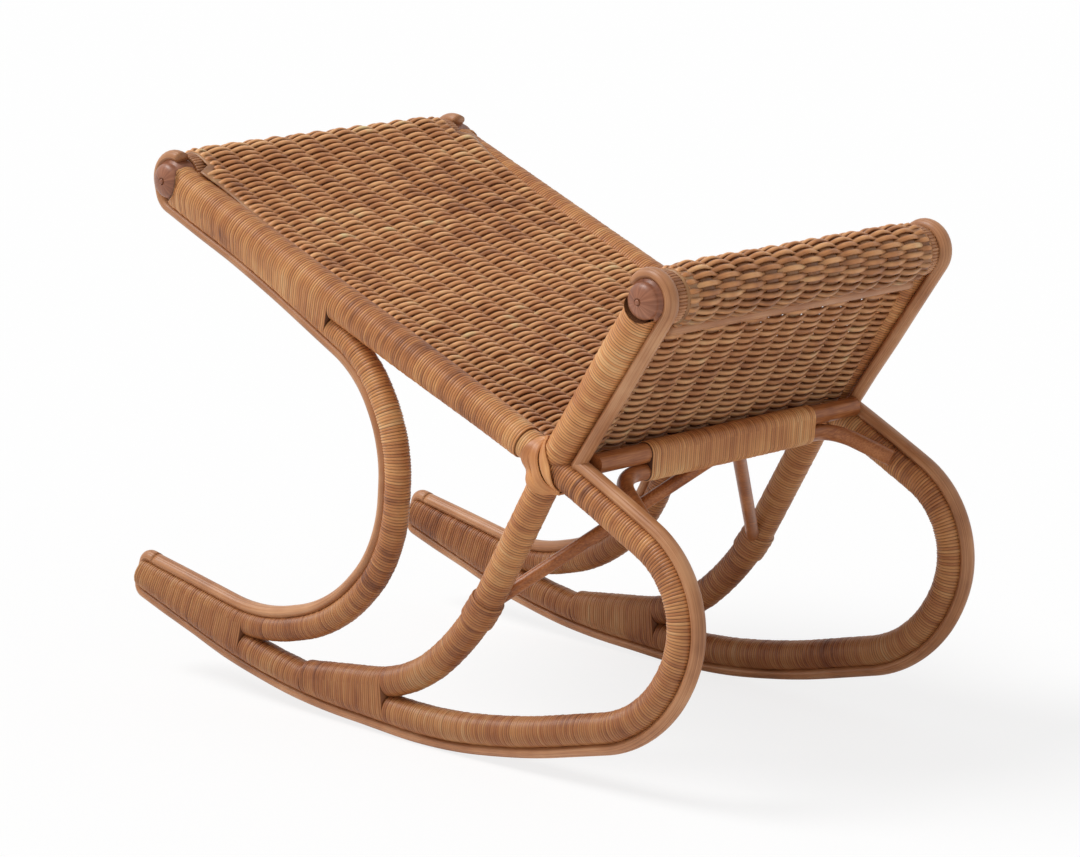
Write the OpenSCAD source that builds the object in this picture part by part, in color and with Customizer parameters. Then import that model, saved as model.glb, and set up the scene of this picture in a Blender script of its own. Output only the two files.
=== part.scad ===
// Rattan rocking footstool: two bent side frames joined by cross rails,
// with a woven leg panel and a woven footboard that meet in a vee.
// +X points to the footboard, +Z is up. The origin is on the floor,
// under the middle of the stool.

/* [Stool] */
// Overall length, from the rocker tails to the front loops
stool_l = 740; // [680:5:800]
// Overall height, to the top of the rear cross rail's edging
stool_h = 517; // [480:1:550]
// Spacing of the two side frames, centre to centre
frame_w = 370; // [320:5:420]

/* [Poles] */
// Diameter of a long side pole over its cane wrap
pole_d = 29; // [26:0.5:31]
// Diameter of a rear leg over its cane wrap
leg_d = 25; // [22:0.5:27]
// Thickness of the cane wrap
wrap_t = 1.6; // [1.2:0.1:2]
// Thickness of the wrap on a panel's side rails, which also binds the weave's ends
rail_wrap_t = 4.8; // [4.2:0.1:5.2]
// Width of the half-round cane that edges the frames
edging_w = 18; // [14:0.5:20]

/* [Cross pieces] */
// How far a top cross rail stands proud of the side rails' wrap, all round
knob_lip = 1; // [0.6:0.1:1.4]
// Height of a top cross rail's domed end
dome_h = 5; // [3:0.5:8]
// Diameter of the bare lower cross rail
vee_rail_d = 18; // [16:0.5:20]
// Diameter of the bow brace under the lower cross rail
bow_d = 15; // [12:0.5:16]
// Diameter of the two slanting struts
strut_d = 12.5; // [10:0.5:14]

/* [Weave] */
// Thickness of a woven row
row_d = 8; // [7:0.25:9]
// Spacing of the rows of the leg panel
leg_pitch = 7.4; // [7:0.1:7.8]
// Spacing of the rows of the footboard
foot_pitch = 7.6; // [7:0.1:7.8]
// Width of the cane collars at the ends of the rolls
collar_w = 12; // [10:0.5:14]

/* [Hidden] */
$fn = 48;

// Gap between two pieces that touch
seat = 0.3;
// Overrun of every cut
over = 1;
// Step and overlap where a bend meets a straight, so that they join as one
step = 0.04;
lap = 0.2;
$g = 0;

// Colours of the cane
honey = "#b9753c";
caramel = "#a5622f";
umber = "#6f3d22";
straw = "#c99253";

pole_r = pole_d / 2;
core_r = pole_r - wrap_t;
leg_r = leg_d / 2;
leg_core_r = leg_r - wrap_t;
rail_r = core_r + seat + rail_wrap_t;
edging_r = edging_w / 2;
cross_r = rail_r + knob_lip;
vee_rail_r = vee_rail_d / 2;
bow_r = bow_d / 2;
strut_r = strut_d / 2;
row_r = row_d / 2;
frame_y = frame_w / 2;
knob_r = cross_r + seat;

// A frame's outline is drawn in shares: x of its half run, z of its rise
run_x = stool_l / 2 - pole_r - seat - edging_r;
low_z = pole_r + seat + edging_r;
rise_z = stool_h - knob_r - edging_r - low_z;
function spot(share) = [share[0] * run_x, low_z + share[1] * rise_z];

// Corners of the long pole: tail, rocker, front loop, vee, rear cross rail.
// The third number is how much of its shorter side each bend takes.
side_shares = [
    [-1.0275, 0.1535],
    [-0.49, 0.022, 0.5],
    [0.141, -0.0042, 0.5],
    [0.433, 0.023, 0.45],
    [0.922, 0.111, 0.5],
    [1.05, 0.384, 0.5],
    [0.558, 0.571, 0.5],
    [-0.872, 1]
];
// Corners of the rear leg, from under the rail down to the tail
leg_shares = [
    [-0.886, 0.974],
    [-0.548, 0.868, 0.4],
    [-0.117, 0.702, 0.45],
    [-0.003, 0.545, 0.48],
    [-0.027, 0.316, 0.48],
    [-0.244, 0.151, 0.48],
    [-0.545, 0.094, 0.41],
    [-0.99, 0.158]
];
// Corners of the middle leg, which starts at the vee and runs down to the rocker
middle_shares = [
    [0.267, 0.204, 0.5],
    [0.038, 0.063, 0.49],
    [-0.31, 0.033]
];
// Where the footboard's posts end, on its cross rail
foot_top_share = [0.889, 0.912];

// Lines and arcs of a bent pole, in the plane of its frame
// A line is [0, x, z, ux, uz, length].
// An arc is [1, centre x, centre z, radius, start angle, sweep].
function right_of(u) = [u[1], -u[0]];
function unit(v) = v / norm(v);
function cross2(a, b) = a[0] * b[1] - a[1] * b[0];
function turn(a, b, c) = let (u = unit(b - a), v = unit(c - b)) atan2(cross2(u, v), u * v);
function bite(p, i, shares) = i == 0 || i == len(p) - 1 ? 0 :
    shares[i][2] * min(norm(p[i] - p[i - 1]), norm(p[i + 1] - p[i]));
function line_part(p, q) = [0, p[0], p[1], unit(q - p)[0], unit(q - p)[1], norm(q - p)];
function arc_part(a, b, c, cut) = let (
        t = turn(a, b, c),
        r = cut / tan(abs(t) / 2),
        from = b - cut * unit(b - a),
        centre = from - sign(t) * r * right_of(unit(b - a)),
        spoke = from - centre
    ) [1, centre[0], centre[1], r, atan2(spoke[1], spoke[0]), t];
function bent(p, shares) = let (b = [for (i = [0:len(p) - 1]) bite(p, i, shares)])
    [for (i = [0:len(p) - 2]) each concat(
        norm(p[i + 1] - p[i]) - b[i] - b[i + 1] > lap
            ? [line_part(p[i] + b[i] * unit(p[i + 1] - p[i]), p[i + 1] - b[i + 1] * unit(p[i + 1] - p[i]))]
            : [],
        i < len(p) - 2 ? [arc_part(p[i], p[i + 1], p[i + 2], b[i + 1])] : []
    )];
function route(shares) = bent([for (s = shares) spot(s)], shares);
function part_len(q) = q[0] == 0 ? q[5] : q[3] * abs(q[5]) * PI / 180;
function part_cut(q, a, b) = q[0] == 0
    ? [0, q[1] + q[3] * a, q[2] + q[4] * a, q[3], q[4], b - a]
    : [1, q[1], q[2], q[3], q[4] + q[5] * a / part_len(q), q[5] * (b - a) / part_len(q)];
// Length of a route before its part number i
function len_to(w, i) = i <= 0 ? 0 : len_to(w, i - 1) + part_len(w[i - 1]);
function route_len(w) = len_to(w, len(w));
// The stretch of a route between two lengths along it
function stretch(w, a, b) = [for (i = [0:len(w) - 1])
    let (s = len_to(w, i), lo = max(a - s, 0), hi = min(b - s, part_len(w[i])))
    if (hi - lo > lap) part_cut(w[i], lo, hi)];
// The route moved sideways, to the right of its travel
function beside(w, d) = [for (q = w) q[0] == 0
    ? [0, q[1] + d * q[4], q[2] - d * q[3], q[3], q[4], q[5]]
    : [1, q[1], q[2], q[3] + sign(q[5]) * d, q[4], q[5]]];
function part_at(q, a) = q[0] == 0 ? [q[1] + q[3] * a, q[2] + q[4] * a] :
    let (g = q[4] + q[5] * a / part_len(q)) [q[1] + q[3] * cos(g), q[2] + q[3] * sin(g)];
function part_heading(q, a) = q[0] == 0 ? [q[3], q[4]] :
    let (g = q[4] + q[5] * a / part_len(q)) sign(q[5]) * [-sin(g), cos(g)];
function part_of(w, s) = [for (i = [0:len(w) - 1])
    if (i == len(w) - 1 || s < len_to(w, i + 1)) [w[i], s - len_to(w, i)]][0];
function point_at(w, s) = let (f = part_of(w, s)) part_at(f[0], f[1]);
function heading_at(w, s) = let (f = part_of(w, s)) part_heading(f[0], f[1]);
// Length along a route to where it passes nearest to a point, searched from a to b
function nearest(w, p, a, b) = b - a < lap ? (a + b) / 2 :
    let (m = (a + b) / 2) norm(point_at(w, m - lap / 2) - p) < norm(point_at(w, m + lap / 2) - p)
        ? nearest(w, p, a, m) : nearest(w, p, m, b);
// The same, to where it crosses the plane through p that faces u
function abreast(w, p, u, a, b) = b - a < lap ? (a + b) / 2 :
    let (m = (a + b) / 2) (point_at(w, m) - p) * u > 0 ? abreast(w, p, u, m, b) : abreast(w, p, u, a, m);

// Sweeps a flat section along a route; the section's +x lies to the right of travel
module straight(p, u, l) {
    translate([p[0], 0, p[1]]) rotate([0, atan2(u[0], u[1]), 0])
        linear_extrude(height = l) children();
}
module sweep(w) {
    n = len(w) - 1;
    for (i = [0:1:n]) {
        q = w[i];
        if (q[0] == 0) {
            before = i > 0 ? lap : 0;
            after = i < n ? lap : 0;
            $g = i > 0 || i < n ? step : 0;
            straight(part_at(q, -before), [q[3], q[4]], q[5] + before + after) children();
        } else {
            $g = 0;
            translate([q[1], 0, q[2]]) rotate([90, 0, 0])
                rotate([0, 0, q[5] > 0 ? q[4] : q[4] + q[5]])
                    rotate_extrude(angle = abs(q[5])) translate([q[3], 0])
                        mirror([q[5] > 0 ? 0 : 1, 0]) children();
            if (i < n && w[min(i + 1, n)][0] == 1) {
                $g = step;
                u = part_heading(q, part_len(q));
                straight(part_at(q, part_len(q)) - lap * u, u, lap * 2) children();
            }
        }
    }
}
module tube(w, r) {
    sweep(w) circle(r + $g);
}

side = route(side_shares);
side_l = route_len(side);
vee_s = nearest(side, spot(side_shares[6]), side_l / 2, side_l);
vee = point_at(side, vee_s);
rear_top = spot(side_shares[7]);
foot_top = spot(foot_top_share);
leg = route(leg_shares);
leg_l = route_len(leg);
middle = bent(concat([vee], [for (s = middle_shares) spot(s)]), concat([[]], middle_shares));
middle_l = route_len(middle);
post = [line_part(vee, foot_top)];
post_l = route_len(post);

// Along each panel, and out of its visible face
rail_u = unit(rear_top - vee);
rail_n = right_of(rail_u);
post_u = unit(foot_top - vee);
post_n = right_of(post_u);
tail = spot(side_shares[0]);
tail_u = heading_at(side, 0);
tail_n = right_of(tail_u);
vee_u = heading_at(side, vee_s);
vee_n = right_of(vee_u);

// Lengths along the poles where a band binds two of them: from, to
rail_band_share = 0.455;
tail_band_share = 0.1;
heel_band_shares = [0.158, 0.232];
rail_band_s = side_l - rail_band_share * (side_l - vee_s);
tail_band_s = side_l * tail_band_share;
heel_band_s = side_l * heel_band_shares;

// The plane across the long pole and the one bound beside it, at a length along the long pole:
// a point on each, the way the plane faces, and the length along the other pole
function pair_at(s, w, a, b) = let (
        p = point_at(side, s),
        h = heading_at(side, s),
        w_h = heading_at(w, nearest(w, p, a, b)),
        u = unit(h * w_h > 0 ? h + w_h : h - w_h),
        w_s = abreast(w, p, u, a, b)
    ) [p, point_at(w, w_s), u, w_s];
leg_rear_range = [-pole_d, leg_l / 2];
leg_tail_range = [leg_l / 2, leg_l + pole_d];
middle_range = [middle_l / 2, middle_l + pole_d];
rail_pair = pair_at(rail_band_s, leg, leg_rear_range[0], leg_rear_range[1]);
tail_pair = pair_at(tail_band_s, leg, leg_tail_range[0], leg_tail_range[1]);
heel_pairs = [for (s = heel_band_s) pair_at(s, middle, middle_range[0], middle_range[1])];

module along_y(p, l) {
    translate([p[0], l / 2, p[1]]) rotate([90, 0, 0]) linear_extrude(height = l) children();
}
module sleeve(w, r, bore) {
    sweep(w) difference() {
        circle(r + $g);
        circle(bore - $g);
    }
}
// The long pole near the vee, where it is all but straight
module vee_cut(off, r) {
    straight(vee - pole_d * 2 * vee_u + off * vee_n, vee_u, pole_d * 4) circle(r);
}

// A block that cuts a pole's wrap square with a band's end; hand is the side that stays
module band_end(pair, i, hand) {
    straight(pair[i] + hand * seat * pair[2], -hand * pair[2], pole_d) square(pole_d * 2, center = true);
}

// Bent poles, each wrapped in cane where it lies alone and coped where it meets another
module side_pole() {
    color(honey) difference() {
        union() {
            tube(side, core_r);
            difference() {
                tube(stretch(side, tail_band_s - pole_r, heel_band_s[0] + pole_r), pole_r);
                band_end(tail_pair, 0, 1);
                band_end(heel_pairs[0], 0, -1);
            }
            difference() {
                tube(stretch(side, heel_band_s[1] - pole_r, vee_s + pole_r), pole_r);
                band_end(heel_pairs[1], 0, 1);
            }
        }
        along_y(rear_top, frame_w) circle(knob_r);
    }
}
module rear_leg() {
    color(caramel) difference() {
        union() {
            tube(leg, leg_core_r);
            difference() {
                tube(stretch(leg, rail_pair[3] - leg_r, tail_pair[3] + leg_r), leg_r);
                band_end(rail_pair, 1, -1);
                band_end(tail_pair, 1, 1);
            }
        }
        straight(point_at(side, side_l), -heading_at(side, side_l), post_l * 2) circle(core_r + seat);
        tube(stretch(side, 0, heel_band_s[0]), core_r + seat);
        straight(tail - leg_d * tail_u, tail_u, leg_d + over) circle(core_r + seat);
        along_y(rear_top, frame_w) circle(knob_r);
    }
}
module middle_leg() {
    color(caramel) difference() {
        union() {
            tube(middle, core_r);
            difference() {
                tube(stretch(middle, 0, heel_pairs[1][3] + pole_r), pole_r);
                band_end(heel_pairs[1], 1, 1);
            }
        }
        vee_cut(0, pole_r + seat);
        tube(stretch(side, tail_band_s, heel_band_s[1] + pole_d), core_r + seat);
    }
}
module foot_post() {
    color(caramel) difference() {
        tube(post, core_r);
        vee_cut(0, pole_r + seat);
        along_y(foot_top, frame_w) circle(knob_r);
    }
}

// Cane that binds one rail, with the ends of the weave under it
module rail_wrap() {
    color(honey) difference() {
        sleeve(stretch(side, vee_s + pole_r + seat, rail_band_s - seat), rail_r, core_r + seat);
        tube(post, rail_r + seat);
        straight(vee, -post_u, post_l / 2) circle(pole_r + seat);
    }
}
module post_wrap() {
    color(honey) difference() {
        sleeve(post, rail_r, core_r + seat);
        vee_cut(0, pole_r + seat);
        along_y(foot_top, frame_w) circle(knob_r);
    }
}
// Flat straps over the rail, slanting across the crotch of the vee
strap_shares = [0.8, 1.12, 1.44];
strap_w = 7;
strap_t = 1.2;
strap_tilt = 24;
module vee_straps() {
    color(straw) intersection() {
        difference() {
            sleeve(stretch(side, vee_s, vee_s + rail_r * 4), rail_r + seat + strap_t, rail_r + seat);
            tube(post, rail_r + seat);
            straight(vee, -post_u, post_l / 2) circle(pole_r + seat);
        }
        for (share = strap_shares) {
            p = vee + share * rail_r * 2 * rail_u;
            straight(p, [
                rail_u[0] * cos(strap_tilt) + rail_u[1] * sin(strap_tilt),
                rail_u[1] * cos(strap_tilt) - rail_u[0] * sin(strap_tilt)
            ], strap_w) square(rail_r * 4, center = true);
        }
    }
}

// Cane that binds two poles where they lie side by side, drawn tight round both.
// A section is the outline round two circles, so the band is a ring of flats.
arc_steps = 12;
band_steps = 9;
function stadium(c, r, d, q, slant) = let (
        l = norm(d - c) / slant,
        way = (d - c) / l,
        t = acos((r - q) / l)
    ) concat(
        [for (k = [0:arc_steps]) let (g = -t + 2 * t * k / arc_steps)
            [d[0] + q * cos(g) * way[0], q * sin(g), d[1] + q * cos(g) * way[1]]],
        [for (k = [0:arc_steps]) let (g = t + (360 - 2 * t) * k / arc_steps)
            [c[0] + r * cos(g) * way[0], r * sin(g), c[1] + r * cos(g) * way[1]]]
    );
module pair_band(a, b, r, w, range, q, core, w_core) {
    n = (arc_steps + 1) * 2;
    pairs = [for (k = [0:band_steps]) pair_at(a + (b - a) * k / band_steps, w, range[0], range[1])];
    rings = [for (k = [0:band_steps]) let (
        f = pairs[k],
        slant = 1 / abs(heading_at(side, a + (b - a) * k / band_steps) * f[2])
    ) each concat(
        stadium(f[0], r, f[1], q, slant),
        stadium(f[0], core + seat, f[1], w_core + seat, slant)
    )];
    flip = cross2(pairs[0][2], pairs[0][1] - pairs[0][0]) < 0;
    faces = concat(
        [for (k = [0:band_steps - 1]) for (i = [0:n - 1]) let (
            o = k * n * 2, p = o + n * 2, j = (i + 1) % n
        ) each [
            [o + i, o + j, p + j], [o + i, p + j, p + i],
            [o + n + i, p + n + j, o + n + j], [o + n + i, p + n + i, p + n + j]
        ]],
        [for (i = [0:n - 1]) let (j = (i + 1) % n, e = band_steps * n * 2) each [
            [i, n + j, j], [i, n + i, n + j],
            [e + i, e + j, e + n + j], [e + i, e + n + j, e + n + i]
        ]]
    );
    polyhedron(rings, [for (f = faces) flip ? [f[2], f[1], f[0]] : f]);
}
module rail_band() {
    color(honey) difference() {
        pair_band(rail_band_s, side_l, rail_r, leg, leg_rear_range, leg_r, core_r, leg_core_r);
        along_y(rear_top, frame_w) circle(knob_r);
    }
}
module tail_band() {
    color(honey) pair_band(0, tail_band_s, pole_r, leg, leg_tail_range, leg_r, core_r, leg_core_r);
}
module heel_band() {
    color(honey)
        pair_band(heel_band_s[0], heel_band_s[1], pole_r, middle, middle_range, pole_r, core_r, core_r);
}

// Half-round cane that edges a frame, its flat side on the wrapped poles
module half_round() {
    intersection() {
        circle(edging_r + $g);
        translate([-$g, -edging_w]) square(edging_w * 2);
    }
}
// From the vee round the front loop, under the rocker and up the tail's end
module lower_edging() {
    off = pole_r + seat;
    corner = tail + off * tail_n - wrap_t * tail_u;
    rise = (tail - spot(leg_shares[len(leg_shares) - 1])) * tail_n + leg_r + edging_r;
    top = corner - (off + rise) * tail_n;
    color(straw) difference() {
        sweep(concat(
            [line_part(top, corner - wrap_t * tail_n), arc_part(top, corner, corner + tail_u, wrap_t)],
            beside(stretch(side, 0, vee_s), off)
        )) half_round();
        tube(post, rail_r + seat);
    }
}
// Round the rear cross rail's end, under the rail and down the rear leg to the tail
hook_turn = 125;
hook_bend_share = 0.45;
module rear_edging() {
    start = atan2(rail_n[1], rail_n[0]);
    end = start + hook_turn;
    from = rear_top + knob_r * [cos(end), sin(end)];
    way = [-sin(end), cos(end)];
    down = beside(leg, leg_r + seat);
    u = part_heading(down[0], 0);
    foot = part_at(down[0], 0);
    corner = from + way * cross2(foot - from, u) / cross2(way, u);
    color(straw) sweep(concat(
        [[1, rear_top[0], rear_top[1], knob_r, start, hook_turn]],
        bent([from, corner, part_at(down[0], down[0][5])], [[], [0, 0, hook_bend_share], []]),
        [for (i = [1:len(down) - 1]) down[i]]
    )) half_round();
}
// Up the post and round the foot cross rail's end
module foot_edging() {
    from = (pole_r + seat - knob_r * (post_n * vee_n)) / (post_u * vee_n);
    color(straw) difference() {
        sweep([
            beside(stretch(post, from, post_l), knob_r)[0],
            [1, foot_top[0], foot_top[1], knob_r, atan2(post_n[1], post_n[0]), 180]
        ]) half_round();
        vee_cut(pole_r + seat, edging_r + seat);
        vee_cut(0, pole_r + seat);
    }
}

// Cross rails, with a low dome on each end that shows
module cross_rail(p) {
    half = frame_y + edging_r;
    lip_r = cross_r - seat * 2;
    ball_r = (lip_r * lip_r + dome_h * dome_h) / (dome_h * 2);
    translate([p[0], 0, p[1]]) rotate([90, 0, 0]) rotate_extrude() {
        translate([0, -half]) square([cross_r, half * 2]);
        for (hand = [-1, 1]) intersection() {
            translate([0, hand * (half + dome_h - ball_r)]) circle(ball_r);
            translate([0, hand > 0 ? half - dome_h : -half - dome_h]) square([cross_r, dome_h * 2]);
        }
    }
}
module rear_cross_rail() {
    color(umber) cross_rail(rear_top);
}
module foot_cross_rail() {
    color(umber) cross_rail(foot_top);
}

// The leg panel's first row lies below the vee
leg_lift = 10;
leg_from = vee + leg_lift * rail_n - row_d * 2.8 * rail_u;

// Beside that row, a bare rail between the frames with a bow brace bound under it
vee_rail_gap = 2.9;
vee_rail_lean = 14;
vee_band_share = 0.6;
bow_straight_share = 0.65;
bow_reach = 52;
bow_drop = 24;
vee_rail = leg_from + (row_r + vee_rail_gap + vee_rail_r) * [cos(vee_rail_lean), sin(vee_rail_lean)];
bow_axis = vee_rail - [0, vee_rail_r + seat + bow_r];
module each_frame() {
    for (hand = [-1, 1]) translate([0, hand * frame_y, 0]) children();
}
module vee_cross_rail() {
    color(caramel) difference() {
        along_y(vee_rail, frame_w - edging_w - seat * 2) circle(vee_rail_r);
        each_frame() {
            vee_cut(0, pole_r + seat);
            tube(post, rail_r + seat);
        }
    }
}
module bow_brace() {
    dip = atan2(bow_drop, bow_reach);
    reach = norm([bow_drop, bow_reach]);
    end_y = frame_y - pole_r - seat;
    knee = frame_w * bow_straight_share / 2;
    turn_y = (knee + end_y) / 2;
    half = bent(
        [[0, 0], [0, turn_y], [reach, end_y]],
        [[], [0, 0, (turn_y - knee) / min(turn_y, norm([reach, end_y - turn_y]))], []]
    );
    color(caramel) difference() {
        translate([bow_axis[0], 0, bow_axis[1]]) rotate([0, dip, 0]) for (hand = [0, 1])
            mirror([0, hand, 0]) rotate([-90, 0, 0]) tube(half, bow_r);
        each_frame() tube(stretch(side, side_l / 3, vee_s), pole_r + seat);
    }
}
module vee_band() {
    bore = vee_rail_r + seat;
    bow_bore = bow_r + seat;
    color(honey) along_y([0, 0], frame_w * vee_band_share) difference() {
        union() {
            translate(vee_rail) circle(bore + wrap_t);
            translate(bow_axis) circle(bow_bore + wrap_t);
            translate([vee_rail[0] - bow_r, bow_axis[1]]) square([bow_d, vee_rail[1] - bow_axis[1]]);
        }
        translate(vee_rail) circle(bore);
        translate(bow_axis) circle(bow_bore);
    }
}

// Two struts slant from the middle of the bow brace to the middle legs
strut_gap = 28;
strut_foot_share = 0.41;
strut_foot = point_at(middle, middle_l * strut_foot_share);
strut_top = [bow_axis[0], -strut_gap / 2, bow_axis[1]];
strut_way = [strut_foot[0], -frame_y, strut_foot[1]] - strut_top;
module strut_line(r) {
    l = norm(strut_way);
    translate(strut_top)
        rotate([0, acos(strut_way[2] / l), atan2(strut_way[1], strut_way[0])])
        cylinder(h = l, r = r);
}
module strut() {
    color(caramel) difference() {
        strut_line(strut_r);
        along_y(bow_axis, frame_w) circle(bow_r + wrap_t + seat * 2);
        translate([0, -frame_y, 0]) tube(stretch(middle, 0, heel_pairs[1][3]), pole_r + seat);
    }
}
module strut_tie() {
    s = middle_l * strut_foot_share;
    color(honey) difference() {
        translate([0, -frame_y, 0]) sleeve(stretch(middle, s - strut_d, s + strut_d),
            pole_r + seat + wrap_t, pole_r + seat);
        strut_line(strut_r + seat);
    }
}

// Rows of the weave lie side by side along a route, like rods
foot_lift = 7.5;
ring_r = knob_r + row_r;
roll_half = frame_y - edging_r - collar_w - seat * 2;
panel_half = frame_y - pole_r;
leg_rise_share = 0.22;
leg_turn = rear_top + leg_lift * rail_n - leg_rise_share * norm(rear_top - vee) * rail_u;
leg_touch = atan2(leg_turn[1] - rear_top[1], leg_turn[0] - rear_top[0]) + acos(ring_r / norm(leg_turn - rear_top));
leg_roll_turn = 280;
leg_path = concat(
    bent([leg_from, leg_turn, rear_top + ring_r * [cos(leg_touch), sin(leg_touch)]], [[], [0, 0, 0.8], []]),
    [[1, rear_top[0], rear_top[1], ring_r, leg_touch, leg_roll_turn]]
);
foot_rise_share = 0.165;
foot_from = vee + foot_lift * 1.6 * post_n + row_d * 2.75 * post_u;
foot_turn = foot_top + foot_lift * post_n - foot_rise_share * post_l * post_u;
foot_touch = atan2(foot_turn[1] - foot_top[1], foot_turn[0] - foot_top[0]) - acos(ring_r / norm(foot_turn - foot_top));
foot_roll_turn = -297;
foot_path = concat(
    bent([foot_from, foot_turn, foot_top + ring_r * [cos(foot_touch), sin(foot_touch)]], [[], [0, 0, 0.8], []]),
    [[1, foot_top[0], foot_top[1], ring_r, foot_touch, foot_roll_turn]]
);
module rows(path, pitch, hub, near) {
    for (k = [0:floor(route_len(path) / pitch)]) {
        p = point_at(path, k * pitch);
        if ((norm(p - hub) < knob_r + row_d * 1.6) == near) translate(p) circle(row_r);
    }
}
module leg_weave() {
    color(honey) {
        along_y([0, 0], roll_half * 2) rows(leg_path, leg_pitch, rear_top, true);
        difference() {
            along_y([0, 0], panel_half * 2) rows(leg_path, leg_pitch, rear_top, false);
            each_frame() {
                tube(stretch(side, vee_s - pole_d, side_l), rail_r + seat);
                tube(stretch(side, vee_s - pole_d, vee_s + rail_r * 4), rail_r + strap_t + seat * 2);
            }
        }
    }
}
module foot_weave() {
    color(honey) {
        along_y([0, 0], roll_half * 2) rows(foot_path, foot_pitch, foot_top, true);
        difference() {
            along_y([0, 0], panel_half * 2) rows(foot_path, foot_pitch, foot_top, false);
            each_frame() {
                tube(post, rail_r + seat);
                vee_cut(0, pole_r + seat);
            }
        }
    }
}
// Cane strands wound on the open side of each roll's end, between weave and edging
strands = 4;
rear_collar_arc = [74, 120];
foot_collar_arc = [-64, 232];
module collar(p, arc) {
    strand_w = collar_w / strands;
    translate([p[0], -roll_half - seat, p[1]]) rotate([90, -arc[0], 0]) rotate_extrude(angle = arc[1]) {
        translate([knob_r, 0]) square([row_r, collar_w]);
        for (k = [0:strands - 1]) intersection() {
            translate([knob_r + row_r - seat, strand_w * (k + 0.5)]) circle(strand_w / 2 - seat / 2);
            translate([knob_r, 0]) square(collar_w);
        }
    }
}
module collars() {
    color(straw) {
        collar(rear_top, rear_collar_arc);
        collar(foot_top, foot_collar_arc);
    }
}
// A strip that covers the end of the weave under the foot roll
bead_r = 3.5;
bead_lean = 205;
module foot_roll_bead() {
    last = floor(route_len(foot_path) / foot_pitch) * foot_pitch;
    p = point_at(foot_path, last) + (row_r + seat + bead_r) * [cos(bead_lean), sin(bead_lean)];
    color(straw) along_y(p, roll_half * 2) circle(bead_r);
}

module right() {
    translate([0, -frame_y, 0]) children();
}
module left() {
    translate([0, frame_y, 0]) mirror([0, 1, 0]) children();
}
right() side_pole();  // right_side_pole
left() side_pole();  // left_side_pole
right() rear_leg();  // right_rear_leg
left() rear_leg();  // left_rear_leg
right() middle_leg();  // right_middle_leg
left() middle_leg();  // left_middle_leg
right() foot_post();  // right_foot_post
left() foot_post();  // left_foot_post
right() rail_wrap();  // right_rail_wrap
left() rail_wrap();  // left_rail_wrap
right() rail_band();  // right_rail_band
left() rail_band();  // left_rail_band
right() post_wrap();  // right_post_wrap
left() post_wrap();  // left_post_wrap
right() tail_band();  // right_tail_band
left() tail_band();  // left_tail_band
right() heel_band();  // right_heel_band
left() heel_band();  // left_heel_band
right() vee_straps();  // right_vee_straps
left() vee_straps();  // left_vee_straps
right() lower_edging();  // right_lower_edging
left() lower_edging();  // left_lower_edging
right() rear_edging();  // right_rear_edging
left() rear_edging();  // left_rear_edging
right() foot_edging();  // right_foot_edging
left() foot_edging();  // left_foot_edging
rear_cross_rail();
foot_cross_rail();
vee_cross_rail();
bow_brace();
vee_band();
strut();  // right_strut
mirror([0, 1, 0]) strut();  // left_strut
strut_tie();  // right_strut_tie
mirror([0, 1, 0]) strut_tie();  // left_strut_tie
collars();  // right_collars
mirror([0, 1, 0]) collars();  // left_collars
leg_weave();
foot_weave();
foot_roll_bead();
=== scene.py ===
# %% [markdown]
# # A rocking footstool in wound and woven cane
# The real stool is a pair of bent rattan side frames joined by cross rails. Every pole is
# wound with narrow cane, the outer curves carry a half-round edging, and two woven panels
# roll over the top rails and meet in a vee. The packed CAD model holds the sizes and the
# places of all these pieces. This lesson gives each of them the surface that the maker's
# hand leaves: turns of cane, woven strands, lashings, turned knobs and a worn varnish. No
# piece moves on another, so all of them ride on the one body, root.

# %% Load the packed stool
import math
import bpy
import numpy as np
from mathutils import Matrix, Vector
from numpy.linalg import norm


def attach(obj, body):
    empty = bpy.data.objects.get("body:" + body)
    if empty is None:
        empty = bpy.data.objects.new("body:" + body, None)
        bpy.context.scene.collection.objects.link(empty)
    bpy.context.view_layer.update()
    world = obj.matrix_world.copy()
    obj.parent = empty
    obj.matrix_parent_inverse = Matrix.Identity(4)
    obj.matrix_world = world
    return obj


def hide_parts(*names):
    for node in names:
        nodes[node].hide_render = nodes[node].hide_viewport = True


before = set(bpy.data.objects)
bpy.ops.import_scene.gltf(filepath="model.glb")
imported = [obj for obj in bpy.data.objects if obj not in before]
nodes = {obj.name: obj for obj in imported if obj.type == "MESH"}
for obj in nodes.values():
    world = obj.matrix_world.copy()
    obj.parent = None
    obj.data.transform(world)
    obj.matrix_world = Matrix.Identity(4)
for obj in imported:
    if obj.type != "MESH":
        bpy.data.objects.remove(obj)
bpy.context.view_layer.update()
rng = np.random.default_rng(7)

# %% [markdown]
# ## Sizes the maker works to
# The side frames are drawn flat, as a bending jig would hold them, so their bends are given
# as corners in shares of the frame's half run and of its rise. They could be traced from the
# CAD meshes, but these numbers drew the CAD model, so the cane lands exactly on its poles.

# %% Sizes of the frame, in metres
stool_long, stool_high, frame_y = 0.740, 0.517, 0.185
pole_r, leg_r, wrap_t, seat = 0.0145, 0.0125, 0.0016, 0.0003
core_r = pole_r - wrap_t
rail_r, cross_r, edging_r = 0.018, 0.019, 0.009
knob_r = cross_r + seat
run_x = stool_long / 2 - pole_r - seat - edging_r
low_z = pole_r + seat + edging_r
rise_z = stool_high - knob_r - edging_r - low_z


def spot(x_share, z_share):
    return np.array([x_share * run_x, low_z + z_share * rise_z])


print("half run %.4f, rise %.4f" % (run_x, rise_z))

# %% [markdown]
# ## Bent poles as straights and arcs
# A steamed pole bends in clean arcs with straights between them. A Bezier curve could be
# pulled into much the same line, but its bends are no true arcs. Here a list of corners, each
# with the share of its shorter side that the bend may take, rebuilds the pole. Cane is wound
# by length, so the second cell finds the point and the heading at any distance along it.

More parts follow.
